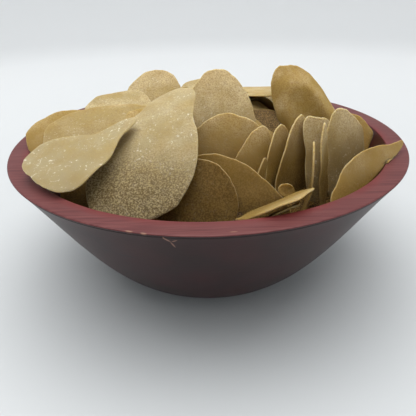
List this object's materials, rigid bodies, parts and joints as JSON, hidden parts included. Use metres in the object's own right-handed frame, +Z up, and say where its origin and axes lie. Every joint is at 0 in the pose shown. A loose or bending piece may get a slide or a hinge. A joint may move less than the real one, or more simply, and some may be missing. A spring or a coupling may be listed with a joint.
{
  "type": "bowl of sago crisps",
  "caption": "Round turned wooden bowl with a wide flat rim and a flat foot, heaped with thin curved oval crisps of dried sago.",
  "frame": {"origin": "centre of the bowl's flat foot, on the surface that it stands on", "axes": "+Z up along the bowl's turning axis, -Y towards the viewer of the picture, +X to the viewer's right"},
  "size_m": [0.254, 0.254, 0.1326],
  "materials": {
    "stained_wood": "satin, dark red-brown stain, paler and dustier on the rim",
    "dried_sago": "matt, pale tan, grainy, with a few white blisters"
  },
  "bodies": {
    "root": {"bowl": "stained_wood", "crisp_heap": "dried_sago"}
  },
  "joints": []
}
